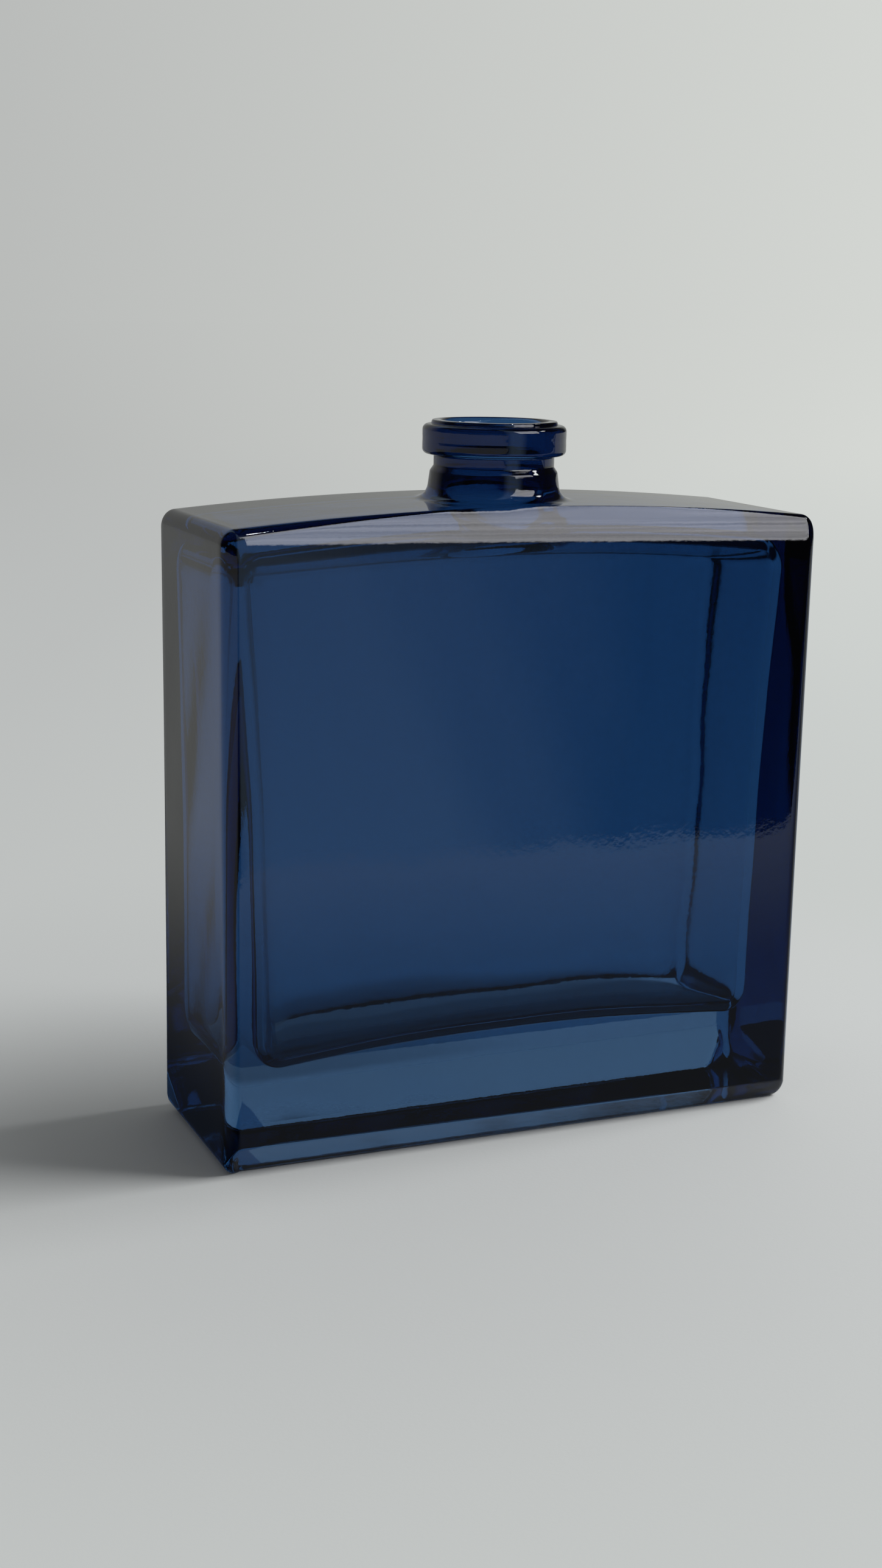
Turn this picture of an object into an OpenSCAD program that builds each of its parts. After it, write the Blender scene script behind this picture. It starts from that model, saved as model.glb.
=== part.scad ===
// Flat rectangular glass flask with an arched shoulder and a 15 mm crimp neck.
// It is one moulded piece. The origin is the centre of the base, +Z is up and the
// front face looks towards -Y.

/* [Body] */
// Width of the body, side face to side face
body_w = 66; // [50:0.5:80]
// Depth of the body, front face to back face
body_d = 23; // [21:0.5:34]
// Height at which the arched shoulder would meet a side face
shoulder_z = 65.4; // [50:0.2:66]
// Rise of the shoulder from its ends to the neck
crown = 1.6; // [1:0.1:3]
// Radius of the outer edges
edge_r = 1.6; // [0.8:0.1:2.4]

/* [Walls] */
// Thickness of the front and back walls
front_wall = 3.4; // [2.4:0.1:4]
// Thickness of the side walls just under the shoulder
side_wall_top = 2.6; // [2.4:0.1:4]
// Thickness of the side walls at the cavity floor
side_wall_low = 4.2; // [3:0.1:6]
// Thickness of the shoulder above the cavity
shoulder_wall = 3.2; // [2.6:0.1:4]
// Height of the cavity floor above the ground at its two ends
floor_z = 9.6; // [7:0.2:14]
// Rise of the cavity floor from its ends to its middle
floor_crown = 1.6; // [0.4:0.1:2.4]
// Radius of the rounded corners of the cavity
cavity_r = 3; // [2:0.1:4]

/* [Base] */
// Depth of the hollow under the base
push_up = 1.2; // [0.4:0.1:2]
// Width of the ring that the bottle stands on
foot_ring = 4; // [3:0.1:5]

/* [Neck finish] */
// Outer diameter of the crimp bead
bead_d = 15; // [14.4:0.1:16]
// Height of the crimp bead
bead_h = 3.1; // [2.6:0.1:3.6]
// Radius of the upper and lower edges of the bead
bead_edge_r = 0.6; // [0.3:0.1:0.8]
// Outer diameter of the sealing lip on top of the bead
lip_d = 13.1; // [12.4:0.1:13.2]
// Height of the sealing lip above the bead
lip_h = 0.4; // [0.3:0.05:0.6]
// Diameter of the crimp groove under the bead
groove_d = 12.6; // [12.2:0.1:13]
// Height of the crimp groove
groove_h = 1.2; // [1:0.1:1.6]
// Diameter of the ring under the groove
ring_d = 13.4; // [13:0.1:14]
// Diameter of the foot of the neck, just above its fillet
foot_d = 14.1; // [13.6:0.1:15]
// Radius of the fillet between the neck and the shoulder
fillet_r = 0.9; // [0.5:0.1:1.2]
// Height of the whole bottle
total_h = 75; // [74:0.1:90]
// Diameter of the neck bore
bore_d = 10.6; // [9.6:0.1:11]
// Width of the bevel inside the mouth
mouth_bevel = 0.5; // [0.2:0.1:0.6]
// Width by which the bore opens out where it meets the cavity
throat_flare = 1.2; // [0.6:0.1:1.6]

/* [Hidden] */
$fn = 96;

// Facets of a full circle with the arch's large radius
ARCH_FN = 720;
// How far stock that is trimmed later runs past the finished shape
spare = 2;

half_w = body_w / 2;
half_d = body_d / 2;
inset_w = half_w - edge_r;
inset_d = half_d - edge_r;

// The shoulder is an arc over the body's width
shoulder_top = shoulder_z + crown;
arch_r = arc_radius(half_w, crown);
arch_z = shoulder_top - arch_r;
// The swept sector is wide enough for the body's sides at the ground, nearest to its centre
arch_sweep = 2 * asin((half_w + spare) / (arch_r - shoulder_top - spare));
// The edge rounding's centre lies on an arc that is edge_r inside the shoulder
corner_z = arch_z + sqrt(pow(arch_r - edge_r, 2) - inset_w * inset_w);

cavity_top = shoulder_top - shoulder_wall;
cavity_y = half_d - front_wall - cavity_r;
cavity_top_x = half_w - side_wall_top - cavity_r;
cavity_low_x = half_w - side_wall_low - cavity_r;
ceiling_r = arch_r - shoulder_wall - cavity_r;
CEILING_STEPS = 6;
CAVITY_FN = 32;

// The floor is an arc between the feet of the side walls
floor_r = arc_radius(half_w - side_wall_low, floor_crown);
floor_sweep = 2 * asin(half_w / floor_r);

bead_top = total_h - lip_h;
bead_low = bead_top - bead_h;
groove_low = bead_low - groove_h;
ring_z = groove_low - (ring_d - groove_d) / 2;
foot_z = shoulder_top + fillet_r;
neck_root = shoulder_top - shoulder_wall / 2;

// Radius of an arc from half of its chord and its rise
function arc_radius(half_chord, rise) = (half_chord * half_chord + rise * rise) / (2 * rise);

// Upright block with the four vertical edges rounded
module plan_stock() {
    linear_extrude(shoulder_top + spare) {
        square([body_w, 2 * inset_d], center = true);
        square([2 * inset_w, body_d], center = true);
        for (x = [-inset_w, inset_w], y = [-inset_d, inset_d])
            translate([x, y]) circle(edge_r);
    }
}

// Front view of the body: rounded bottom corners, and rounded ends under the arch
module elevation() {
    intersection() {
        translate([0, arch_z]) circle(arch_r, $fn = ARCH_FN);
        translate([-inset_w, 0]) square([2 * inset_w, shoulder_top]);
    }
    translate([-half_w, edge_r]) square([body_w, corner_z - edge_r]);
    for (x = [-inset_w, inset_w], z = [edge_r, corner_z])
        translate([x, z]) circle(edge_r);
}

module elevation_stock() {
    rotate([90, 0, 0])
        linear_extrude(body_d + 2 * spare, center = true) elevation();
}

// Side view of the shoulder, swept round the centre of the arch: rounds the two long top edges
module shoulder_stock() {
    depth = shoulder_top + spare;
    translate([0, 0, arch_z]) rotate([90, 0, 0])
        rotate_extrude(angle = arch_sweep, start = 90 - arch_sweep / 2, $fn = ARCH_FN)
            translate([arch_r - depth, 0]) {
                translate([0, -half_d]) square([depth - edge_r, body_d]);
                translate([0, -inset_d]) square([depth, 2 * inset_d]);
                for (y = [-inset_d, inset_d])
                    translate([depth - edge_r, y]) circle(edge_r);
            }
}

// Side view of the base, extruded across the width: rounds the two long bottom edges
module base_stock() {
    height = shoulder_top + spare;
    rotate([90, 0, 90])
        linear_extrude(body_w + 2 * spare, center = true) {
            translate([-half_d, edge_r]) square([body_d, height]);
            translate([-inset_d, 0]) square([2 * inset_d, height]);
            for (y = [-inset_d, inset_d])
                translate([y, edge_r]) circle(edge_r);
        }
}

module body_shape() {
    intersection() {
        plan_stock();
        elevation_stock();
        shoulder_stock();
        base_stock();
    }
}

// Half of the neck in section: foot, ring, groove, crimp bead and sealing lip
module neck_profile() {
    bead_r = bead_d / 2;
    translate([0, neck_root]) square([foot_d / 2, foot_z - neck_root]);
    difference() {
        translate([0, neck_root])
            square([foot_d / 2 + fillet_r, shoulder_top + fillet_r - neck_root]);
        translate([foot_d / 2 + fillet_r, foot_z]) circle(fillet_r);
    }
    polygon([
        [0, neck_root],
        [foot_d / 2, neck_root],
        [foot_d / 2, foot_z],
        [ring_d / 2, ring_z],
        [groove_d / 2, groove_low],
        [groove_d / 2, bead_low + bead_edge_r],
        [0, bead_low + bead_edge_r],
    ]);
    translate([0, bead_low + bead_edge_r]) square([bead_r, bead_h - 2 * bead_edge_r]);
    translate([0, bead_low]) square([bead_r - bead_edge_r, bead_h]);
    for (z = [bead_low + bead_edge_r, bead_top - bead_edge_r])
        translate([bead_r - bead_edge_r, z]) circle(bead_edge_r);
    translate([0, bead_top - bead_edge_r]) square([lip_d / 2, lip_h + bead_edge_r]);
}

module neck() {
    rotate_extrude() neck_profile();
}

// The sides and ceiling of the cavity: soft upright corners, side walls that thicken
// downwards and a ceiling that follows the shoulder
module cavity_walls() {
    hull() {
        for (x = [-cavity_low_x, cavity_low_x], y = [-cavity_y, cavity_y])
            translate([x, y, floor_z + cavity_r]) sphere(cavity_r, $fn = CAVITY_FN);
        for (step = [-1 : 2 / CEILING_STEPS : 1], y = [-cavity_y, cavity_y])
            let (x = step * cavity_top_x)
                translate([x, y, arch_z + sqrt(ceiling_r * ceiling_r - x * x)])
                    sphere(cavity_r, $fn = CAVITY_FN);
    }
}

// All that lies above the arched floor, with the same soft corner along its long edges
module above_floor() {
    half_y = cavity_y + cavity_r;
    translate([0, 0, floor_z + floor_crown - floor_r]) rotate([90, 0, 0])
        rotate_extrude(angle = floor_sweep, start = 90 - floor_sweep / 2, $fn = ARCH_FN)
            translate([floor_r, 0]) {
                translate([0, -cavity_y]) square([shoulder_top, 2 * cavity_y]);
                translate([cavity_r, -half_y]) square([shoulder_top, 2 * half_y]);
                for (y = [-cavity_y, cavity_y])
                    translate([cavity_r, y]) circle(cavity_r);
            }
}

// The space that holds the liquid
module cavity() {
    intersection() {
        cavity_walls();
        above_floor();
    }
}

// Straight bore, with a bevel at the mouth and a cone where it opens into the cavity
module neck_bore() {
    bore_r = bore_d / 2;
    translate([0, 0, cavity_top - throat_flare])
        cylinder(total_h - cavity_top + throat_flare + spare, r = bore_r);
    translate([0, 0, total_h - mouth_bevel])
        cylinder(mouth_bevel, r1 = bore_r, r2 = bore_r + mouth_bevel);
    translate([0, 0, cavity_top - throat_flare])
        cylinder(2 * throat_flare, r1 = bore_r + throat_flare, r2 = bore_r);
}

// Shallow hollow under the base, curved both ways, that leaves a ring to stand on
module base_hollow() {
    r_across = arc_radius(half_w - foot_ring, push_up);
    r_along = arc_radius(half_d - foot_ring, push_up);
    intersection() {
        translate([0, 0, push_up - r_across]) rotate([90, 0, 0])
            cylinder(body_d, r = r_across, center = true, $fn = ARCH_FN);
        translate([0, 0, push_up - r_along]) rotate([0, 90, 0])
            cylinder(body_w, r = r_along, center = true);
    }
}

module glass_bottle() {
    color([0.13, 0.24, 0.42, 0.75])
        difference() {
            union() {
                body_shape();
                neck();
            }
            cavity();
            neck_bore();
            base_hollow();
        }
}

glass_bottle();
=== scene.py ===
"""Flat lacquered glass flask with a crimp neck: its looks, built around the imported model."""

import logging
import math
from collections.abc import Sequence
from dataclasses import dataclass, field
from enum import Enum

import bmesh
import bpy
import numpy as np
from mathutils import Matrix, Vector


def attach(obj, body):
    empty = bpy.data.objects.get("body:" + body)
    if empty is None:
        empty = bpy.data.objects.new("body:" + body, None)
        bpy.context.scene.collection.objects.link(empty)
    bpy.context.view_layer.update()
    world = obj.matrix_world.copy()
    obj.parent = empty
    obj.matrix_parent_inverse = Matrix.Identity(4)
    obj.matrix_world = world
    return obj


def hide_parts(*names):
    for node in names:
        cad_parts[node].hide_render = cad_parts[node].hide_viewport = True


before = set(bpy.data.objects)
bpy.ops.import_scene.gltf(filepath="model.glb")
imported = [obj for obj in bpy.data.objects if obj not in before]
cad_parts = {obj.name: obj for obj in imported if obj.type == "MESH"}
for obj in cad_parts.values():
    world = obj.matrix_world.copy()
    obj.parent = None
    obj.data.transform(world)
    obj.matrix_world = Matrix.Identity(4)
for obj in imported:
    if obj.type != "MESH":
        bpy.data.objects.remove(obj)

log = logging.getLogger("flask")
MM = 0.001
# Points nearer than this, in metres, are welded
WELD = 4e-7
# A corner whose half angle is wider than this counts as straight
STRAIGHT = math.radians(89)
BODY = "root"
NODE = "glass_bottle"
Array = np.ndarray
Node = bpy.types.Node
Socket = bpy.types.NodeSocket
Colour = tuple[float, float, float]
Point2 = tuple[float, float]
Point3 = tuple[float, float, float]
Cut = tuple[float, float, float, float]
WHITE: Colour = (1.0, 1.0, 1.0)
# Light crosses many walls of glass on its way through the flask
GLASS_BOUNCES = 40
GLOSSY_BOUNCES = 16


class Face(Enum):
    """Which finish a stretch of the glass wears, by its place among the material slots."""

    COATED = 0
    CLEAR = 1
    THIN = 2


class Band(Enum):
    """Bands of the outside, from the underside up."""

    SOLE = "the flat ring that stands on the table"
    FOOT = "the cut or rounding above it"
    WALL = "the flat walls"
    ROLL = "the soft roll under the shoulder"
    EDGE = "the tight edge of the shoulder"


# How many rings each band has, and how they crowd towards its ends
RINGS = {
    Band.SOLE: (3, 0.0),
    Band.FOOT: (16, 0.0),
    Band.WALL: (36, 0.25),
    Band.ROLL: (10, 0.0),
    Band.EDGE: (10, 0.0),
}


# ---- mesh helpers


@dataclass
class Skin:
    """A surface gathered from square patches and welded where they meet. Sizes in millimetres."""

    points: list[Array] = field(default_factory=list)
    quads: list[Array] = field(default_factory=list)
    faces: list[Array] = field(default_factory=list)
    count: int = 0

    def add(self, grid: Array, face: Face, closed: bool = False) -> None:
        """Adds a patch.

        Args:
            grid: points of the patch, rows by columns by 3.
            face: the finish that the patch wears.
            closed: whether the last column joins the first.
        """
        rows, cols = grid.shape[:2]
        index = self.count + np.arange(rows * cols).reshape(rows, cols)
        if closed:
            index = np.concatenate([index, index[:, :1]], axis=1)
        quads = np.stack(
            [index[:-1, :-1], index[:-1, 1:], index[1:, 1:], index[1:, :-1]], axis=-1
        ).reshape(-1, 4)
        self.points.append(grid.reshape(-1, 3))
        self.quads.append(quads)
        self.faces.append(np.full(len(quads), face.value))
        self.count += rows * cols

    def welded(self, name: str) -> bpy.types.Mesh:
        """Makes one mesh of the patches, with smooth faces that look outwards.

        Args:
            name: the name of the mesh.

        Returns:
            The mesh, in metres.
        """
        mesh = bpy.data.meshes.new(name)
        places = (np.concatenate(self.points) * MM).tolist()
        mesh.from_pydata(places, [], np.concatenate(self.quads).tolist())
        mesh.polygons.foreach_set("material_index", np.concatenate(self.faces).astype(np.int32))
        work = bmesh.new()
        work.from_mesh(mesh)
        bmesh.ops.remove_doubles(work, verts=work.verts, dist=WELD)
        bmesh.ops.recalc_face_normals(work, faces=work.faces)
        for piece in work.faces:
            piece.smooth = True
        work.to_mesh(mesh)
        work.free()
        return mesh


def spread(start: float, end: float, count: int, ease: float = 0.0) -> Array:
    """Steps from start to end, count of them, crowded at both ends by ease (0 even, 1 cosine)."""
    t = np.linspace(0.0, 1.0, count + 1)
    return start + (end - start) * ((1 - ease) * t + ease * (0.5 - 0.5 * np.cos(np.pi * t)))


def softened(corners: Sequence[Point3], step: float) -> list[Point2]:
    """A path through the corners with each one rounded to its own radius.

    Args:
        corners: each corner as (r, z, radius).
        step: degrees between the points of a rounding.

    Returns:
        The points of the path as (r, z).
    """
    path: list[Point2] = [corners[0][:2]]
    for before, here, after in zip(corners, corners[1:], corners[2:]):
        p = Vector(here[:2])
        a = (Vector(before[:2]) - p).normalized()
        b = (Vector(after[:2]) - p).normalized()
        half = a.angle(b) / 2
        if here[2] <= 0 or half > STRAIGHT:
            path.append(tuple(p))
            continue
        reach = here[2] / math.tan(half)
        middle = p + (a + b).normalized() * (here[2] / math.sin(half))
        first, last = p + a * reach - middle, p + b * reach - middle
        turn = first.angle_signed(last)
        count = max(2, round(abs(math.degrees(turn)) / step))
        for k in range(count + 1):
            path.append(tuple(middle + Matrix.Rotation(-turn * k / count, 2) @ first))
    path.append(corners[-1][:2])
    return path


def filled(path: list[Point2], longest: float) -> list[Point2]:
    """The path with its long stretches divided.

    Args:
        path: points as (r, z).
        longest: the longest stretch that stays whole.

    Returns:
        The divided path.
    """
    out = [path[0]]
    for a, b in zip(path, path[1:]):
        count = max(1, math.ceil(math.dist(a, b) / longest))
        out += [
            (a[0] + (b[0] - a[0]) * k / count, a[1] + (b[1] - a[1]) * k / count)
            for k in range(1, count + 1)
        ]
    return out


def linked(
    name: str, data: bpy.types.ID, finishes: Sequence[bpy.types.Material] = ()
) -> bpy.types.Object:
    """Puts a piece in the scene, dressed in its finishes.

    Args:
        name: the name of the piece.
        data: its mesh, lamp or camera.
        finishes: the materials of a mesh, in the order of their slots.

    Returns:
        The piece.
    """
    for finish in finishes:
        data.materials.append(finish)
    piece = bpy.data.objects.new(name, data)
    bpy.context.scene.collection.objects.link(piece)
    return piece


# ---- finishes


class Nodes:
    """A node tree, with short ways to add and join nodes."""

    def __init__(self, owner: bpy.types.ID) -> None:
        """Empties the tree of its owner.

        Args:
            owner: a material, a world or a lamp.
        """
        owner.use_nodes = True
        self.tree = owner.node_tree
        self.tree.nodes.clear()

    def add(
        self, kind: str, values: dict[int, object] | None = None, **settings: object
    ) -> Node:
        """Adds a node of a kind, with its settings and what its inputs take.

        Args:
            kind: the node's type without its ShaderNode prefix.
            values: inputs by number, where their names don't tell them apart.
            settings: properties, or inputs by name with underscores for spaces.

        Returns:
            The node.
        """
        node = self.tree.nodes.new("ShaderNode" + kind)
        for key, value in settings.items():
            socket = node.inputs.get(key.replace("_", " "))
            if socket is None:
                setattr(node, key, value)
            else:
                self.feed(socket, value)
        for place, value in (values or {}).items():
            self.feed(node.inputs[place], value)
        return node

    def feed(self, socket: Socket, value: object) -> None:
        """Gives a socket its value, or links it to the socket that has it.

        Args:
            socket: the input.
            value: a number, a vector, a colour, an output, or a node for its first output.
        """
        if isinstance(value, Node):
            value = value.outputs[0]
        if isinstance(value, Socket):
            self.tree.links.new(value, socket)
        elif socket.type == "RGBA" and len(value) == 3:
            socket.default_value = (*value, 1.0)
        else:
            socket.default_value = value

    def math(self, what: str, a: object, b: object) -> Node:
        """A Math node that works on a and b, each a number or what gives it."""
        return self.add("Math", {0: a, 1: b}, operation=what)

    def ramp(self, value: object, start: float, end: float, smooth: bool = False) -> Node:
        """A number from 0 where the value is start to 1 where it is end, eased if smooth."""
        low, high, falls = min(start, end), max(start, end), end < start
        return self.add(
            "MapRange",
            {0: value, 1: low, 2: high, 3: float(falls), 4: float(not falls)},
            interpolation_type="SMOOTHSTEP" if smooth else "LINEAR",
        )

    def blend(self, share: object, a: object, b: object) -> Socket:
        """Two colours mixed: share says how much of the second one there is."""
        return self.add("Mix", {0: share, 6: a, 7: b}, data_type="RGBA").outputs[2]

    def mixed(self, share: object, a: Node, b: Node) -> Node:
        """Two shaders mixed: share says how much of the second one there is."""
        return self.add("MixShader", {0: share, 1: a, 2: b})


@dataclass(frozen=True)
class ClearGlass:
    """Clear moulded glass as it is on the inside of the flask, or the same with a tint."""

    name: str = "clear_glass"
    tint: Colour = WHITE
    ior: float = 1.5
    rough: float = 0.0
    ripple: float = 0.02
    ripple_size: float = 180.0
    grain: float = 0.008
    grain_size: float = 1500.0
    bump_height: float = 0.001

    def material(self) -> bpy.types.Material:
        """Builds the material.

        Returns:
            The material.
        """
        made = bpy.data.materials.new(self.name)
        nodes = Nodes(made)
        place = nodes.add("TexCoord").outputs["Object"]
        rolls = nodes.add("TexNoise", Vector=place, Scale=self.ripple_size, Detail=1.0)
        broad = nodes.add("Bump", Strength=self.ripple, Distance=self.bump_height, Height=rolls)
        grain = nodes.add("TexNoise", Vector=place, Scale=self.grain_size, Detail=3.0)
        bump = nodes.add(
            "Bump", Strength=self.grain, Distance=self.bump_height, Height=grain, Normal=broad
        )
        glass = nodes.add(
            "BsdfPrincipled",
            Base_Color=self.tint,
            Roughness=self.rough,
            IOR=self.ior,
            Transmission_Weight=1.0,
            Normal=bump,
        )
        nodes.add("OutputMaterial", Surface=glass)
        return made


# In the order of the values of Face
GLASSES = {
    Face.COATED: ClearGlass(name="lacquered_glass", tint=(0.036, 0.12, 0.27)),
    Face.CLEAR: ClearGlass(),
    Face.THIN: ClearGlass(name="thin_lacquer", tint=(0.21, 0.265, 0.39)),
}


@dataclass(frozen=True)
class LacquerFilm:
    """The absorbing film of the lacquer, given by what one crossing lets through (mm).

    It is thicker on the neck by the share neck_build, and thinner at the foot by foot_thinning.
    """

    name: str = "lacquer_film"
    passes: Colour = (0.50, 0.62, 0.75)
    thickness: float = 0.06
    depth: float = 0.02
    neck_build: float = 1.2
    foot_thinning: float = 0.4

    def material(self) -> bpy.types.Material:
        """Builds the material.

        Returns:
            The material.
        """
        made = bpy.data.materials.new(self.name)
        nodes = Nodes(made)
        film = nodes.add(
            "BsdfPrincipled", Base_Color=WHITE, Roughness=0.0, IOR=1.0, Transmission_Weight=1.0
        )
        loss = [-math.log(c) / (self.thickness * MM) for c in self.passes]
        # A little above the greatest loss, so that no channel of the colour is 0
        density = max(loss) * 1.02
        colour = tuple(1 - v / density for v in loss)
        body = nodes.add("VolumeAbsorption", Color=colour, Density=density)
        nodes.add("OutputMaterial", Surface=film, Volume=body)
        return made


# ---- the flask


@dataclass
class Flask:
    """The glass: a flat body with an arched shoulder, its cavity and its crimp neck (mm).

    A heel cut is given by how far it goes in, how high it goes up, and the radii of its lower
    and upper corner. The lengths and phases of all waves only have to look uneven.
    """

    half_w: float = 33.0
    half_d: float = 11.5
    shoulder_z: float = 65.4
    crown: float = 1.6
    edge_r: float = 1.6
    roll_low: float = 61.85
    roll_slant: float = 0.022
    roll_r: float = 9.0
    roll_steepest: float = 34.0
    side_roll: float = 1.8
    side_turn: float = 30.0
    front_heel: Cut = (1.68, 2.8, 0.3, 0.5)
    rear_heel: Cut = (3.45, 4.6, 0.4, 1.5)
    side_heel: float = 1.6
    heel_wave: float = 0.015
    heel_slant: float = 0.16
    heel_step: float = 5.0
    corner_spare: float = 0.1
    thin_from: float = -27.0
    bow: float = 0.16
    bow_z: float = 33.0
    front_wave: float = 0.012
    side_wave: float = 0.03
    front_wall: float = 3.4
    side_top: float = 1.9
    side_low: float = 4.2
    side_taper: float = 1.9
    shoulder_wall: float = 3.2
    floor_z: float = 9.6
    floor_crown: float = 1.6
    cavity_r: float = 3.0
    ripple: float = 0.05
    # Height at which a ripple ends, and the length over which it grows below that
    wall_ripple: Point2 = (60.0, 12.0)
    floor_ripple: Point2 = (16.0, 5.0)
    # Corners of the outside of the neck, from its foot to the mouth, as (r, z, radius)
    neck: tuple[Point3, ...] = (
        (8.75, 67.0, 0), (7.04, 67.0, 1.5), (6.68, 69.75, 0.35), (6.3, 70.3, 0.3),
        (6.3, 71.5, 0.25), (7.5, 71.5, 0.55), (7.5, 72.6, 0.25), (7.488, 72.85, 0.2),
        (7.488, 73.2, 0.2), (7.5, 73.45, 0.25), (7.5, 74.55, 0.6),
        (6.62, 74.6, 0.12), (6.5, 75.0, 0.18), (5.7, 75.0, 0.3),
    )
    neck_step: float = 10.0
    neck_settles: float = 1.5
    bore_r: float = 5.3
    mouth_bevel: float = 0.5
    bevel_r: float = 0.4
    throat_r: float = 6.4
    throat_join: float = 1.6
    # Half of the square of the grid that the neck, or the throat, takes the place of
    block: float = 9.1
    throat_block: float = 7.6
    # Steps of the mesh, for some with how they crowd at the ends, and longest stretches
    around: int = 128
    turns: int = 12
    corner_steps: int = 8
    beside_neck: tuple[int, float] = (16, 0.35)
    neck_rings: int = 5
    neck_longest: float = 0.45
    cavity_rise: tuple[int, float] = (30, 0.3)
    cavity_out: tuple[int, float] = (22, 0.2)
    cavity_deep: int = 16
    throat_rings: int = 6
    flare_rings: int = 9
    bore_longest: float = 0.7

    @property
    def top(self) -> float:
        """Height of the shoulder at the neck."""
        return self.shoulder_z + self.crown

    @property
    def arch_r(self) -> float:
        """Radius of the shoulder's arch."""
        return (self.half_w**2 + self.crown**2) / (2 * self.crown)

    def shoulder(self, x: Array) -> Array:
        """Height of the shoulder's arch at x."""
        return self.top - self.arch_r + np.sqrt(self.arch_r**2 - x**2)

    def ceiling(self, x: Array) -> Array:
        """Height of the cavity's ceiling at x."""
        return self.shoulder(x) - self.shoulder_wall

    def floor(self, x: Array) -> Array:
        """Height of the cavity's arched floor at x."""
        reach = self.half_w - self.side_low
        return self.floor_z + self.floor_crown * (1 - (x / reach) ** 2)

    def cavity_half(self, z: Array) -> Array:
        """Half width of the cavity at height z: the side walls thicken downwards."""
        t = np.clip((z - self.floor_z) / (self.top - self.shoulder_wall - self.floor_z), 0, 1)
        return self.half_w - (self.side_low + (self.side_top - self.side_low) * t**self.side_taper)

    @property
    def block_lines(self) -> Array:
        """Grid lines over the square that the neck takes the place of."""
        return spread(-self.block, self.block, self.around // 4)

    def x_lines(self) -> Array:
        """Upright grid lines of the front, dense where the neck is."""
        side = spread(self.block, self.half_w - self.edge_r, *self.beside_neck)[1:]
        return np.concatenate([-side[::-1], self.block_lines, side])

    def y_lines(self) -> Array:
        """Grid lines of the shoulder, from front to back."""
        inner = self.half_d - self.edge_r
        return np.concatenate([[-inner], self.block_lines, [inner]])

    def ring_stations(self) -> tuple[Array, Array, Array, Array]:
        """Where the rings pass, starting at the front left and turning to the right.

        Returns:
            x and y of the roundings' centres, and x and y of the way outwards.
        """
        cx, cy = self.half_w - self.edge_r, self.half_d - self.edge_r
        xs, ys = self.x_lines(), self.y_lines()
        turn = np.radians(spread(0, 90, self.corner_steps))[1:-1]
        parts = []
        for k, line in enumerate((xs, ys, xs[::-1], ys[::-1])):
            nx, ny = ((0, -1), (1, 0), (0, 1), (-1, 0))[k]
            one = np.ones_like(line)
            x, y = (line, ny * cy * one) if nx == 0 else (nx * cx * one, line)
            parts.append(np.stack([x, y, nx * one, ny * one]))
            a = turn + math.radians(90 * k - 90)
            one = np.ones_like(a)
            sx, sy = ((1, -1), (1, 1), (-1, 1), (-1, -1))[k]
            parts.append(np.stack([sx * cx * one, sy * cy * one, np.cos(a), np.sin(a)]))
        return tuple(np.concatenate(parts, axis=1))

    def heel(self, share: float) -> tuple[Array, Array]:
        """The cut between the underside and the walls: narrow in front, wide and wavy behind.

        Args:
            share: how far up the cut, from 0 at the underside to 1 at the wall.

        Returns:
            For each place along the ring, how far in and how high the point lies.
        """
        x, _, _, ny = self.ring_stations()
        front = np.where(ny < 0, ny**2, 0)
        rear = np.where(ny > 0, ny**2, 0)
        wave = np.sin(0.38 * x + 1.0) + 0.45 * np.sin(0.83 * x)
        inset, height = np.zeros_like(x), np.zeros_like(x)
        cuts = ((front, self.front_heel), (rear, self.rear_heel))
        round_end = (self.side_heel, self.side_heel, 0, 0)
        # Each path runs on past the cut, and its two ends are dropped again
        past = 6.0
        for weight, (reach, rise, low, high) in (*cuts, (1 - front - rear, round_end)):
            cut = [(reach, 0, low), (0, rise, high)] if low > 0 else [(0, 0, reach)]
            corners = [(reach + past, 0, 0), *cut, (0, rise + past, 0)]
            way = np.array(softened(corners, self.heel_step)[1:-1])
            run = np.concatenate([[0], np.cumsum(np.hypot(*np.diff(way, axis=0).T))])
            inset += weight * np.interp(share * run[-1], run, way[:, 0])
            height += weight * np.interp(share * run[-1], run, way[:, 1])
        inset *= 1 + rear * self.heel_wave * wave
        slant = 1 - front * self.heel_slant * x / self.half_w
        return inset * slant, height * slant

    def corner_room(self, inset: Array) -> Point2:
        """How far the front and rear corner centres move in, so that a wide cut doesn't fold."""
        ny, spare = self.ring_stations()[3], self.corner_spare - self.edge_r
        return tuple(max(0.0, float(inset[side].max()) + spare) for side in (ny < 0, ny > 0))

    def drawn_in(self, x: Array, y: Array, room: Point2) -> tuple[Array, Array, Array]:
        """Moves places within the corner centres as those centres move in.

        Args:
            x: places across the width.
            y: places across the depth.
            room: the way at the front corners and at the rear ones.

        Returns:
            The moved places, and the way at each of them.
        """
        cx, cy = self.half_w - self.edge_r, self.half_d - self.edge_r
        share = (y + cy) / (2 * cy)
        way = room[0] + (room[1] - room[0]) * share
        return x * (1 - way / cx), y + room[0] - (room[0] + room[1]) * share, way

    def roll_angle(self, height: Array) -> Array:
        """The slope at which the soft roll under the shoulder turns into its tight edge.

        Args:
            height: height of the roll and the edge together.

        Returns:
            The angle in radians.
        """
        angle = np.radians(np.linspace(1, self.roll_steepest, 300))
        tight = (self.edge_r - self.roll_r * (1 - np.cos(angle))) / np.cos(angle)
        reached = self.roll_r * np.sin(angle) + tight * (1 - np.sin(angle))
        return np.interp(height, reached, angle)

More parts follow.
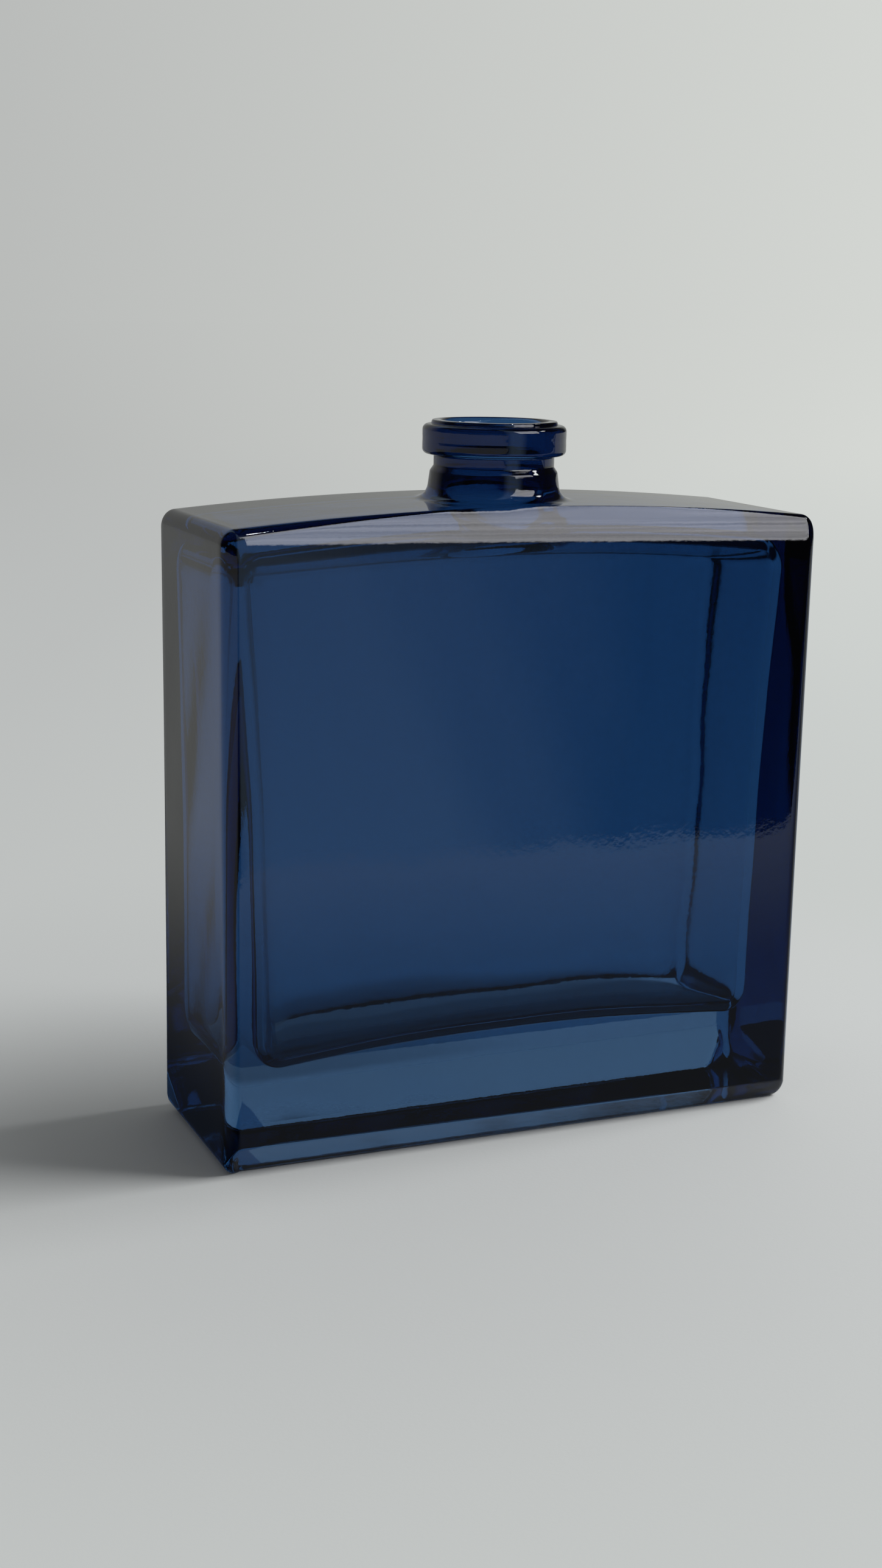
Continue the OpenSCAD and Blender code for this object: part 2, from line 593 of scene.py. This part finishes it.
    def ring(self, band: Band, t: float) -> Array:
        """One ring round the outside.

        Args:
            band: the band that it lies in.
            t: how far up that band, from 0 to 1.

        Returns:
            Its points.
        """
        x, y, nx, ny = self.ring_stations()
        front = ny**2
        arch = self.shoulder(x)
        foot, foot_top = self.heel(0.0)[0], self.heel(1.0)[1]
        roll_low = self.roll_low - self.roll_slant * x
        start = self.roll_angle(arch - roll_low)
        tight = (self.edge_r - self.roll_r * (1 - np.cos(start))) / np.cos(start)
        room = (0.0, 0.0)
        if band is Band.SOLE:
            room = self.corner_room(foot)
            border = self.edge_r + self.drawn_in(x, y, room)[2]
            inset, z = border + (foot - border) * t, np.zeros_like(x)
        elif band is Band.FOOT:
            inset, z = self.heel(t)
            room = self.corner_room(inset)
        elif band is Band.WALL:
            end = front * roll_low + (1 - front) * (arch - self.side_roll)
            inset, z = np.zeros_like(x), foot_top + (end - foot_top) * t
        else:
            if band is Band.ROLL:
                a = start * t
                over = self.roll_r * (1 - np.cos(a))
                up = roll_low + self.roll_r * np.sin(a)
                side = math.radians(self.side_turn * t)
            else:
                a = start + (math.pi / 2 - start) * t
                over = self.edge_r - tight * np.cos(a)
                up = arch - tight * (1 - np.sin(a))
                side = math.radians(self.side_turn + (90 - self.side_turn) * t)
            side_over = self.edge_r * (1 - math.cos(side))
            side_up = arch - self.side_roll * (1 - math.sin(side))
            inset = front * over + (1 - front) * side_over
            z = front * up + (1 - front) * side_up
        x, y, way = self.drawn_in(x, y, room)
        reach = self.edge_r + way - inset
        return np.column_stack([x + nx * reach, y + ny * reach, z])

    def bowed(self, p: Array) -> Array:
        """Pulls the outside in a little between its corners, as moulded glass sinks.

        Args:
            p: points of the outside.

        Returns:
            The moved points.
        """
        x, y, z = p[..., 0], p[..., 1], p[..., 2]
        across = np.clip(1 - (x / self.half_w) ** 2, 0, 1)
        upright = np.clip(1 - ((z - self.bow_z) / self.bow_z) ** 2, 0, 1)
        deep = np.clip(1 - (y / self.half_d) ** 2, 0, 1)
        sink_y = self.bow * across * upright
        sink_x = self.bow * upright * (0.4 + 0.6 * deep)
        sink_y = sink_y + across * upright * self.front_wave * (1 + np.sin(0.5 * x + 0.23 * z))
        sink_x = sink_x + deep * upright * self.side_wave * (1 + np.sin(0.21 * z + 0.45 * y + 0.8))
        out = p.copy()
        out[..., 0] -= sink_x * (x / self.half_w) ** 7
        out[..., 1] -= sink_y * (y / self.half_d) ** 5
        return out

    def rippled(self, p: Array) -> Array:
        """Makes the walls of the cavity uneven, as blown glass is.

        Args:
            p: points of the inside.

        Returns:
            The moved points.
        """
        x, y, z = p[..., 0], p[..., 1], p[..., 2]
        (wall_z, wall_over), (floor_z, floor_over) = self.wall_ripple, self.floor_ripple
        calm = np.clip((wall_z - z) / wall_over, 0, 1)
        wave_y = np.sin(0.33 * x + 0.14 * z + 1.0) + 0.7 * np.sin(0.52 * z - 0.2 * x)
        wave_x = np.sin(0.19 * z + 0.5 * y) + 0.5 * np.sin(0.45 * z + 1.3)
        low = np.clip((floor_z - z) / floor_over, 0, 1)
        out = p.copy()
        out[..., 0] += self.ripple * 2.2 * calm * wave_x * (x / self.half_w) ** 5
        out[..., 1] += self.ripple * calm * wave_y * (y / (self.half_d - self.front_wall)) ** 3
        out[..., 2] += self.ripple * 2.5 * low * np.sin(0.28 * x + 2.0) * np.cos(0.3 * y)
        return out

    def square_to_circle(self, r: float, steps: int) -> tuple[Array, Array]:
        """Rings that turn the square of the grid round the neck into a circle.

        Args:
            r: radius of the circle.
            steps: how many rings there are.

        Returns:
            x and y of the rings, from the square inwards.
        """
        line = self.block_lines
        edge = np.full(self.around // 4, self.block)
        sx = np.concatenate([line[:-1], edge, line[:0:-1], -edge])
        sy = np.concatenate([-edge, line[:-1], edge, line[:0:-1]])
        angle = np.arctan2(sy, sx)
        cx, cy = r * np.cos(angle), r * np.sin(angle)
        t = spread(0, 1, steps)[:, None]
        return sx + (cx - sx) * t, sy + (cy - sy) * t

    def circle(self) -> Array:
        """Angles of the points round the neck, in step with the square's own points."""
        x, y = self.square_to_circle(1.0, 1)
        return np.arctan2(y[-1], x[-1])

    def lofted(self, path: list[Point2]) -> Array:
        """A surface of revolution that settles onto the arched shoulder at its foot.

        Args:
            path: its outline as (r, z).

        Returns:
            The points, one row for each point of the path.
        """
        angle = self.circle()
        rows = []
        for r, z in path:
            x, y = r * np.cos(angle), r * np.sin(angle)
            dip = float(np.clip(1 - (z - self.top) / self.neck_settles, 0, 1))
            rows.append(np.column_stack([x, y, z + dip * (self.shoulder(x) - self.top)]))
        return np.array(rows)

    def outside(self) -> Skin:
        """The outside of the glass.

        Returns:
            The skin from the underside to the inner edge of the mouth.
        """
        skin = Skin()
        rings = []
        for band, steps in RINGS.items():
            rings += [self.ring(band, t) for t in spread(0, 1, *steps)[:-1]]
        wall = np.array([*rings, self.ring(Band.EDGE, 1.0)])
        sole = RINGS[Band.SOLE][0]
        foot = sole + RINGS[Band.FOOT][0] + 1
        skin.add(wall[: sole + 1], Face.CLEAR, closed=True)
        # The spray hardly reached the wide cut behind
        x, _, _, ny = self.ring_stations()
        start, end = np.flatnonzero((ny >= 1 - 1e-9) & (x > self.thin_from))[[0, -1]]
        low = wall[sole : foot + 1]
        skin.add(low[:, start : end + 1], Face.THIN)
        skin.add(low[:, : start + 1], Face.COATED)
        skin.add(np.concatenate([low[:, end:], low[:, :1]], axis=1), Face.COATED)
        skin.add(wall[foot:], Face.COATED, closed=True)
        xs, ys = self.x_lines(), self.y_lines()
        x, y = np.meshgrid(xs, ys)
        under_x, under_y, _ = self.drawn_in(x, y, self.corner_room(self.heel(0.0)[0]))
        skin.add(np.stack([under_x, under_y, np.zeros_like(x)], axis=-1), Face.CLEAR)
        top = np.stack([x, y, self.shoulder(x)], axis=-1)
        # Where the neck's square begins and ends, each way
        near = self.block + 1e-6
        first, last = np.flatnonzero(np.abs(xs) <= near)[[0, -1]]
        front, back = np.flatnonzero(np.abs(ys) <= near)[[0, -1]]
        middle = top[:, first : last + 1]
        for patch in (top[:, : first + 1], top[:, last:], middle[: front + 1], middle[back:]):
            skin.add(patch, Face.COATED)
        path = filled(softened(self.neck, self.neck_step), self.neck_longest)
        rx, ry = self.square_to_circle(path[0][0], self.neck_rings)
        skin.add(np.stack([rx, ry, self.shoulder(rx)], axis=-1), Face.COATED, closed=True)
        skin.add(self.lofted(path), Face.COATED, closed=True)
        skin.points = [self.bowed(p) for p in skin.points]
        return skin

    def section(self, x_share: float, inset: float, push: float) -> Array:
        """One upright ring of the cavity, across its depth.

        Args:
            x_share: place along the straight part, from -1 to 1.
            inset: how far the ring is pulled in at the rounded ends.
            push: how far it lies beyond the straight part.

        Returns:
            Its points, from the middle of the ceiling round by the back and the floor.
        """
        r = self.cavity_r - inset
        cy = self.half_d - self.front_wall - self.cavity_r
        flat = self.cavity_y_lines()
        turn = np.radians(np.linspace(0, 90, self.turns + 1))[1:-1]
        rise = spread(0, 1, *self.cavity_rise)
        reach_top = self.cavity_half(np.array(self.top - self.shoulder_wall)) - self.cavity_r
        reach_low = self.cavity_half(np.array(self.floor_z)) - self.cavity_r
        side = np.sign(x_share) * push
        high = self.ceiling(x_share * reach_top + side) - self.cavity_r
        low = self.floor(x_share * reach_low + side) + self.cavity_r
        sin, cos = r * np.sin(turn), r * np.cos(turn)
        wall, level = np.full(len(rise), cy + r), np.ones(len(flat))
        back, front = [cy + sin, wall, cy + cos], [-cy - sin, -wall, -cy - cos]
        ys = np.concatenate([flat, *back, flat[::-1], *front])
        down, up = high + (low - high) * rise, low + (high - low) * rise
        top, under = (high + r) * level, (low - r) * level
        zs = np.concatenate([top, high + cos, down, low - sin, under, low - cos, up, high + sin])
        xs = x_share * (self.cavity_half(zs) - self.cavity_r) + side
        return np.column_stack([xs, ys, zs])

    def cavity_y_lines(self) -> Array:
        """Grid lines across the flat part of the ceiling and the floor."""
        cy = self.half_d - self.front_wall - self.cavity_r
        return spread(-cy, cy, self.cavity_deep)

    def inside(self) -> Skin:
        """The inside of the glass.

        Returns:
            The skin from the mouth down the bore and round the cavity.
        """
        skin = Skin()
        reach = float(self.cavity_half(np.array(self.top)) - self.cavity_r)
        half = self.throat_block / reach
        out = spread(half, 1, *self.cavity_out)[1:]
        middle = spread(-half, half, self.around // 4)
        shares = np.concatenate([-out[::-1], middle, out])
        rings = [(-1.0, i, p) for i, p in self.end_rounding()[::-1]]
        rings += [(float(s), 0.0, 0.0) for s in shares]
        rings += [(1.0, i, p) for i, p in self.end_rounding()]
        grid = np.array([self.section(*ring) for ring in rings])
        # Each ring starts on the ceiling, so once rolled the ceiling is the first columns
        steps = len(self.cavity_y_lines())
        reach_in = self.around // 8 - (steps - 1) // 2
        row0 = len(self.end_rounding()) + len(out)
        row1 = row0 + self.around // 4
        grid = np.roll(grid, reach_in, axis=1)
        across = steps - 1 + 2 * reach_in
        closed = np.concatenate([grid, grid[:, :1]], axis=1)
        under_neck = closed[row0 : row1 + 1]
        for patch in (closed[: row0 + 1], closed[row1:], under_neck[:, across:]):
            skin.add(patch, Face.CLEAR)
        self.add_throat(skin, under_neck[:, : across + 1])
        for end in (0, -1):
            skin.add(self.end_cap(grid[end], reach_in, steps), Face.CLEAR)
        skin.points = [self.rippled(p) for p in skin.points]
        return skin

    def end_rounding(self) -> list[tuple[float, float]]:
        """Rings of the rounded ends of the cavity, as (inset, push)."""
        angles = np.radians(np.linspace(0, 90, self.turns + 1))[1:]
        return [(self.cavity_r * (1 - np.cos(a)), self.cavity_r * np.sin(a)) for a in angles]

    def end_cap(self, ring: Array, shift: int, steps: int) -> Array:
        """Closes the flat end of the cavity.

        Args:
            ring: the last ring, whose corners have shrunk to points.
            shift: how many columns the ring was rolled by.
            steps: how many points there are across.

        Returns:
            The patch, rows down and columns across.
        """
        ring = np.roll(ring, -shift, axis=0)
        rise = (len(ring) - 2 * steps - 4 * (self.turns - 1)) // 2
        start = steps + self.turns - 1
        back = ring[start : start + rise]
        front = ring[len(ring) - self.turns + 1 - rise : len(ring) - self.turns + 1][::-1]
        t = np.linspace(0, 1, steps)[None, :, None]
        return front[:, None] * (1 - t) + back[:, None] * t

    def add_throat(self, skin: Skin, block: Array) -> None:
        """Joins the ceiling to the bore and runs the bore up to the mouth.

        Args:
            skin: the skin that takes the patches.
            block: points of the ceiling that the throat takes the place of.
        """
        edge = np.concatenate([block[:-1, 0], block[-1, :-1], block[:0:-1, -1], block[0, :0:-1]])
        angle = self.circle()
        cos, sin = np.cos(angle), np.sin(angle)
        soft = self.cavity_r
        cy = self.half_d - self.front_wall - soft

        def height(x: Array, y: Array) -> Array:
            """Height of the ceiling, with the rounding along its edges."""
            over = np.clip(np.abs(y) - cy, 0, soft)
            return self.ceiling(x) - (soft - np.sqrt(np.clip(soft**2 - over**2, 0, None)))

        rows = [edge]
        for t in spread(0, 1, self.throat_rings)[1:]:
            x = edge[:, 0] * (1 - t) + self.throat_r * cos * t
            y = edge[:, 1] * (1 - t) + self.throat_r * sin * t
            rows.append(np.column_stack([x, y, height(x, y)]))
        flare = self.throat_r - self.bore_r
        join = self.top - self.shoulder_wall + self.throat_join
        base = rows[-1][:, 2]
        for a in np.radians(spread(0, 90, self.flare_rings))[1:]:
            r = self.throat_r - flare * np.sin(a)
            rows.append(np.column_stack([r * cos, r * sin, base + (join - base) * (1 - np.cos(a))]))
        mouth_r, mouth_z, _ = self.neck[-1]
        bevel = (self.bore_r, mouth_z - self.mouth_bevel, self.bevel_r)
        corners = [(self.bore_r, join, 0), bevel, (mouth_r, mouth_z, 0)]
        for r, z in filled(softened(corners, self.neck_step), self.bore_longest)[1:]:
            rows.append(np.column_stack([r * cos, r * sin, np.full_like(angle, z)]))
        skin.add(np.array(rows), Face.CLEAR, closed=True)

    def glass(self, name: str) -> bpy.types.Object:
        """The whole glass as one closed mesh, its two skins joined at the mouth, and dressed.

        Args:
            name: the name of the piece.

        Returns:
            The piece.
        """
        outer, inner = self.outside(), self.inside()
        offset = outer.count
        both = Skin(
            outer.points + inner.points,
            outer.quads + [q + offset for q in inner.quads],
            outer.faces + inner.faces,
            offset + inner.count,
        )
        return linked(name, both.welded(name), [finish.material() for finish in GLASSES.values()])

    def coat(self, name: str, film: LacquerFilm) -> bpy.types.Object:
        """The film of lacquer, a closed shell just under the outer skin.

        Args:
            name: the name of the piece.
            film: its finish, which says how thick it is and how deep it lies.

        Returns:
            The film.
        """
        skin = self.outside().welded(name + "_skin")
        count = len(skin.vertices)
        place = np.zeros(count * 3)
        skin.vertices.foreach_get("co", place)
        place = place.reshape(-1, 3)
        normal = np.array([v.normal[:] for v in skin.vertices])
        rise = np.clip((place[:, 2:] / MM - self.top) / self.neck_settles, 0, 1)
        fall = np.clip(1 - place[:, 2:] / MM / self.top, 0, 1)
        thick = film.thickness * (1 + film.neck_build * rise) * (1 - film.foot_thinning * fall)
        near, far = place - normal * film.depth * MM, place - normal * (film.depth + thick) * MM
        coated = Face.COATED.value
        faces = [tuple(p.vertices) for p in skin.polygons if p.material_index == coated]
        uses: dict[tuple[int, int], tuple[int, int]] = {}
        for face in faces:
            for a, b in zip(face, face[1:] + face[:1]):
                key = (min(a, b), max(a, b))
                uses[key] = (-1, -1) if key in uses else (a, b)
        rim = [(a, b) for a, b in uses.values() if a >= 0]
        faces += [tuple(count + v for v in face[::-1]) for face in faces]
        faces += [(b, a, count + a, count + b) for a, b in rim]
        used = sorted({v for face in faces for v in face})
        renumber = {old: new for new, old in enumerate(used)}
        mesh = bpy.data.meshes.new(name)
        faces = [tuple(renumber[v] for v in face) for face in faces]
        mesh.from_pydata(np.concatenate([near, far])[used].tolist(), [], faces)
        for piece in mesh.polygons:
            piece.use_smooth = True
        bpy.data.meshes.remove(skin)
        return linked(name, mesh, [film.material()])


# ---- the studio


@dataclass(frozen=True)
class Pane:
    """A soft lamp, placed by the way it lies from the flask. Metres, degrees."""

    name: str
    azimuth: float
    height: float
    distance: float
    size: Point2
    radiance: float
    left: float = 1.0
    slant: Point2 = (-1.0, -0.9)
    streaks: float = 0.0
    tint: Colour = WHITE
    lights: bool = True
    mirrored: bool = True
    aim: Point3 = (0.0, 0.0, 0.035)
    # In shares of the pane: how far the slant runs past its top, and how soft its edges are
    past_top: float = 1.12
    soft_top: float = 0.12
    soft_foot: float = 0.05
    streak_stretch: Point3 = (1.2, 5.0, 1.0)
    streak_turn: Point3 = (0.0, 0.0, 0.35)

    def build(self) -> None:
        """Makes the lamp, turned to the flask."""
        lamp = bpy.data.lights.new(self.name, "AREA")
        lamp.shape = "RECTANGLE"
        lamp.color = self.tint
        lamp.size, lamp.size_y = self.size
        lamp.energy = self.radiance * math.pi * self.size[0] * self.size[1]
        pane = linked(self.name, lamp)
        way = direction(self.azimuth, self.height)
        pane.location = Vector(self.aim) + way * self.distance
        pane.rotation_euler = (-way).to_track_quat("-Z", "Y").to_euler()
        pane.visible_camera = False
        pane.visible_diffuse = self.lights
        pane.visible_glossy = self.mirrored
        pane.visible_transmission = False
        self.shape_glow(lamp)

    def shape_glow(self, lamp: bpy.types.Light) -> None:
        """Gives the lamp soft edges, a slanting top, soft streaks and a dimmer left side.

        Args:
            lamp: the lamp, whose own right side is the left as seen from the flask.
        """
        nodes = Nodes(lamp)
        place = nodes.add("NewGeometry").outputs["Parametric"]
        axis = nodes.add("SeparateXYZ", Vector=place)
        across, up = axis.outputs["X"], axis.outputs["Y"]
        glow = nodes.add("MapRange", Value=across, To_Min=self.left)
        top = nodes.math("MULTIPLY", nodes.ramp(across, *self.slant), self.past_top)
        room = nodes.ramp(nodes.math("SUBTRACT", top, up), 0.0, self.soft_top, smooth=True)
        stretch = nodes.add(
            "Mapping", Vector=place, Scale=self.streak_stretch, Rotation=self.streak_turn
        )
        noise = nodes.add("TexNoise", Vector=stretch, Scale=1.6, Detail=3.0)
        streaks = nodes.add(
            "MapRange", Value=noise, From_Min=0.3, From_Max=0.7, To_Min=1 - self.streaks
        )
        for share in (room, nodes.ramp(up, 0.0, self.soft_foot), streaks):
            glow = nodes.math("MULTIPLY", glow, share)
        nodes.add("OutputLight", Surface=nodes.add("Emission", Strength=glow))


def direction(azimuth: float, lift: float) -> Vector:
    """The unit vector at azimuth degrees to the right of the front, lifted by lift degrees."""
    turn, rise, flat = math.radians(azimuth), math.radians(lift), math.cos(math.radians(lift))
    return Vector((math.sin(turn) * flat, -math.cos(turn) * flat, math.sin(rise)))


@dataclass(frozen=True)
class Eye:
    """The camera: its lens on a 36 mm long side, its place in metres, its turn in degrees."""

    lens: float = 49.40
    azimuth: float = -23.366
    lift: float = 12.768
    roll: float = 1.057
    place: Point3 = (-0.09425, -0.20584, 0.08743)
    near: float = 0.01
    far: float = 50.0

    def build(self) -> None:
        """Makes the camera, turned a little about its own axis."""
        eye = bpy.data.cameras.new("camera")
        eye.lens = self.lens
        eye.sensor_width = 36.0
        eye.clip_start, eye.clip_end = self.near, self.far
        camera = linked("camera", eye)
        roll = math.radians(self.roll)
        back = direction(self.azimuth, self.lift)
        right = (-back).cross(Vector((0, 0, 1))).normalized()
        up = right.cross(-back)
        turned_right = right * math.cos(roll) + up * math.sin(roll)
        turned_up = up * math.cos(roll) - right * math.sin(roll)
        turn = Matrix((turned_right, turned_up, back)).transposed()
        camera.matrix_world = Matrix.Translation(self.place) @ turn.to_4x4()
        bpy.context.scene.camera = camera


@dataclass
class Studio:
    """The table, the room and the lamps. Lengths in metres.

    A pair of numbers says where a change begins and ends: along an axis, or along the same
    axis of a direction. What is named mirror or mirrored is a painted reflection, seen only in
    reflections, and so are the two changes of the table in front of the flask and beside it, to
    its left: a painted reflection that is darker near the flask as painted shade, and the flask's
    painted shadow.
    """

    pale_left: Colour = (0.44, 0.45, 0.445)
    pale_right: Colour = (0.70, 0.72, 0.69)
    dark: Colour = (0.02, 0.022, 0.03)
    ambient: Colour = (0.17, 0.172, 0.176)
    # The way to the right of the view, and how far the room's change of colour reaches
    rightwards: Point3 = (0.918, -0.397, 0.0)
    room_reach: float = 0.32
    ceiling: Point2 = (0.62, 0.46)
    open_from: Point2 = (-0.35, -0.15)
    behind: Point2 = (-0.15, 0.25)
    glow_top: Point2 = (0.75, 0.45)
    mirrored: float = 0.66
    mirrored_behind: Point2 = (0.6, 0.85)
    # A painted reflection: a soft bluish patch of light seen only in glass
    mirror_patch: Colour = (0.34, 0.48, 0.66)
    # Sides of the patch, as x over y
    patch_right: Point2 = (-0.56, -0.32)
    patch_left: Point2 = (0.12, -0.06)
    board: Colour = (0.60, 0.615, 0.61)
    # The far table glows in place of a lit board: painted light, lighter to the right, the side the
    # lamps light it from
    table_left: Colour = (0.50, 0.515, 0.51)
    table_right: Colour = (0.60, 0.625, 0.61)
    table_size: float = 6.0
    table_z: float = -0.00002
    table_reach: float = 0.1
    # Distances over which the lit board gives way to a glow, and the glow to the backdrop
    board_ends: Point2 = (0.045, 0.115)
    table_ends: Point2 = (0.15, 1.2)
    # Painted reflection of the table in front: painted shade near the flask, lighter further out,
    # and the painted dark room past the paper's edge
    front: Point2 = (-0.008, -0.014)
    front_fades: Point2 = (-0.06, -0.115)
    near_mirror_shade: Colour = (0.15, 0.17, 0.20)
    far_mirror: Colour = (0.44, 0.52, 0.62)
    edge_mirror: Point2 = (-0.116, -0.120)
    edge_wave: float = 0.012
    # Painted shadow of the flask on the table to its left, seen only in reflections
    beside: Point2 = (-0.030, -0.033)
    beside_fades: Point2 = (-0.034, -0.075)
    mirrored_shadow_near: Colour = (0.02, 0.026, 0.04)
    mirrored_shadow_far: Colour = (0.33, 0.34, 0.335)
    panes: tuple[Pane, ...] = (
        Pane(
            "window", 28, 33, 0.60, (0.53, 0.41), 6.9, left=0.8, slant=(0.235, 0.295),
            streaks=0.55, tint=(1.0, 1.0, 1.04), lights=False,
        ),
        Pane("key", 76, 37, 0.80, (0.48, 0.43), 12.6, mirrored=False),
        Pane("window_right", 76, 40, 0.80, (0.10, 0.10), 14.0, lights=False),
        Pane("spot", 27, 64, 0.80, (0.02, 0.02), 160.0, lights=False),
    )

    def build(self) -> None:
        """Makes the room, the table and the lamps."""
        self.build_world()
        self.build_table()
        for pane in self.panes:
            pane.build()

    def across(self, nodes: Nodes, place: object, reach: float, *colours: Colour) -> Socket:
        """A colour that goes from that on the left to that on the right over twice the reach."""
        side = nodes.add("VectorMath", {0: place, 1: self.rightwards}, operation="DOT_PRODUCT")
        return nodes.blend(nodes.ramp(side.outputs["Value"], -reach, reach), *colours)

    def room_ahead(self, nodes: Nodes, axis: Node) -> Socket:
        """Painted reflection of what lies in front: a dark room with one soft bluish patch of
        light.

        Args:
            nodes: the tree that takes the nodes.
            axis: the node that gives x and y of the place or the direction.

        Returns:
            The colour.
        """
        turned = nodes.math("DIVIDE", axis.outputs["X"], axis.outputs["Y"])
        sides = nodes.ramp(turned, *self.patch_right), nodes.ramp(turned, *self.patch_left)
        return nodes.blend(nodes.math("MULTIPLY", *sides), self.dark, self.mirror_patch)

    def build_world(self) -> None:
        """A pale backdrop under a dark ceiling, and a painted dim room in front for reflections."""
        world = bpy.data.worlds.new("room")
        bpy.context.scene.world = world
        nodes = Nodes(world)
        way = nodes.add("TexCoord").outputs["Generated"]
        axis = nodes.add("SeparateXYZ", Vector=way)
        x, y, z = axis.outputs
        pale = self.across(nodes, way, self.room_reach, self.pale_left, self.pale_right)
        below = nodes.ramp(z, *self.ceiling)
        below = nodes.math("MULTIPLY", below, nodes.ramp(x, *self.open_from))
        seen = nodes.blend(below, self.dark, pale)
        behind = nodes.ramp(y, *self.behind)
        behind = nodes.math("MULTIPLY", behind, nodes.ramp(z, *self.glow_top))
        # Painted reflection: glass mirrors the backdrop dimmer, and the painted room in front
        dimmed = nodes.add("VectorMath", operation="SCALE", Vector=pale, Scale=self.mirrored)
        far = nodes.math("MULTIPLY", behind, nodes.ramp(y, *self.mirrored_behind))
        mirror = nodes.blend(far, self.room_ahead(nodes, axis), dimmed)
        light = nodes.blend(behind, self.ambient, pale)
        path = nodes.add("LightPath").outputs
        direct = nodes.math("MAXIMUM", path["Is Camera Ray"], path["Is Transmission Ray"])
        shown = nodes.blend(path["Is Glossy Ray"], light, mirror)
        glow = nodes.add("Background", Color=nodes.blend(direct, shown, seen), Strength=1.0)
        nodes.add("OutputWorld", Surface=glow)

    def table_board(self) -> bpy.types.Material:
        """A pale matt board that fades into the backdrop, and the painted reflections that glass
        sees of it.

        Returns:
            The material.
        """
        made = bpy.data.materials.new("table_board")
        nodes = Nodes(made)
        place = nodes.add("TexCoord").outputs["Object"]
        axis = nodes.add("SeparateXYZ", Vector=place)
        x, y, _ = axis.outputs
        grain = nodes.add("TexNoise", Vector=place, Scale=2500.0, Detail=2.0)
        bump = nodes.add("Bump", Strength=0.05, Distance=0.0002, Height=grain)
        board = nodes.add(
            "BsdfPrincipled", Base_Color=self.board, Roughness=0.6, IOR=1.2, Normal=bump
        )
        length = nodes.add("VectorMath", operation="LENGTH", Vector=place).outputs["Value"]
        way = nodes.add("VectorMath", operation="NORMALIZE", Vector=place)
        # Painted light: the glow is lighter to the right, as the lamps light it from there
        near = self.across(nodes, place, self.table_reach, self.table_left, self.table_right)
        sky = self.across(nodes, way, self.room_reach, self.pale_left, self.pale_right)
        far = nodes.blend(nodes.ramp(length, *self.table_ends, smooth=True), near, sky)
        path = nodes.add("LightPath").outputs
        clear = nodes.math("SUBTRACT", 1.0, path["Is Transmission Ray"])
        reflected = nodes.math("MULTIPLY", path["Is Glossy Ray"], clear)
        # Painted reflection: glass sees the far table's glow painted dimmer than the camera does
        dimmer = nodes.add("MapRange", Value=reflected, To_Min=1.0, To_Max=self.mirrored)
        glow = nodes.add("Emission", Color=far, Strength=dimmer)
        shown = nodes.mixed(nodes.ramp(length, *self.board_ends, smooth=True), board, glow)
        # Painted reflection of the table in front: darker near the flask as painted shade, then the
        # painted dark room past the paper's wavy edge
        mirror = nodes.blend(nodes.ramp(y, *self.front_fades), self.near_mirror_shade, self.far_mirror)
        edge = nodes.add("TexNoise", Vector=place, Scale=35.0, Detail=3.0)
        ahead = nodes.math("ADD", y, nodes.math("MULTIPLY", edge, self.edge_wave))
        off = nodes.ramp(ahead, *self.edge_mirror)
        mirror = nodes.blend(off, mirror, self.room_ahead(nodes, axis))
        # Painted shadow: what glass mirrors of the table to the flask's left is painted dark, as
        # the flask's shadow
        fade = nodes.ramp(x, *self.beside_fades, smooth=True)
        shade = nodes.blend(fade, self.mirrored_shadow_near, self.mirrored_shadow_far)
        in_front, beside = nodes.ramp(y, *self.front), nodes.ramp(x, *self.beside)
        for where, colour in ((in_front, mirror), (beside, shade)):
            glow = nodes.add("Emission", Color=colour, Strength=1.0)
            shown = nodes.mixed(nodes.math("MULTIPLY", reflected, where), shown, glow)
        nodes.add("OutputMaterial", Surface=shown)
        return made

    def build_table(self) -> None:
        """The table under the flask, which isn't part of it."""
        mesh = bpy.data.meshes.new("table")
        r, z = self.table_size, self.table_z
        mesh.from_pydata([(-r, -r, z), (r, -r, z), (r, r, z), (-r, r, z)], [], [(0, 1, 2, 3)])
        table = linked("table", mesh, [self.table_board()])


def main() -> None:
    """Builds the flask and its lacquer, and the studio round them."""
    logging.basicConfig(level=logging.INFO, format="%(message)s")
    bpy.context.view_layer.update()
    scene = bpy.context.scene
    scene.view_settings.view_transform = "Standard"
    scene.cycles.max_bounces = GLASS_BOUNCES
    scene.cycles.transmission_bounces = GLASS_BOUNCES
    scene.cycles.glossy_bounces = GLOSSY_BOUNCES
    flask = Flask()
    glass = flask.glass("flask_glass")
    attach(glass, BODY)
    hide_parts(NODE)
    log.info("flask_glass: %d faces", len(glass.data.polygons))
    coat = flask.coat("lacquer_coat", LacquerFilm())
    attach(coat, BODY)
    log.info("lacquer_coat: %d faces", len(coat.data.polygons))
    Studio().build()
    Eye().build()


if __name__ == "__main__":
    main()
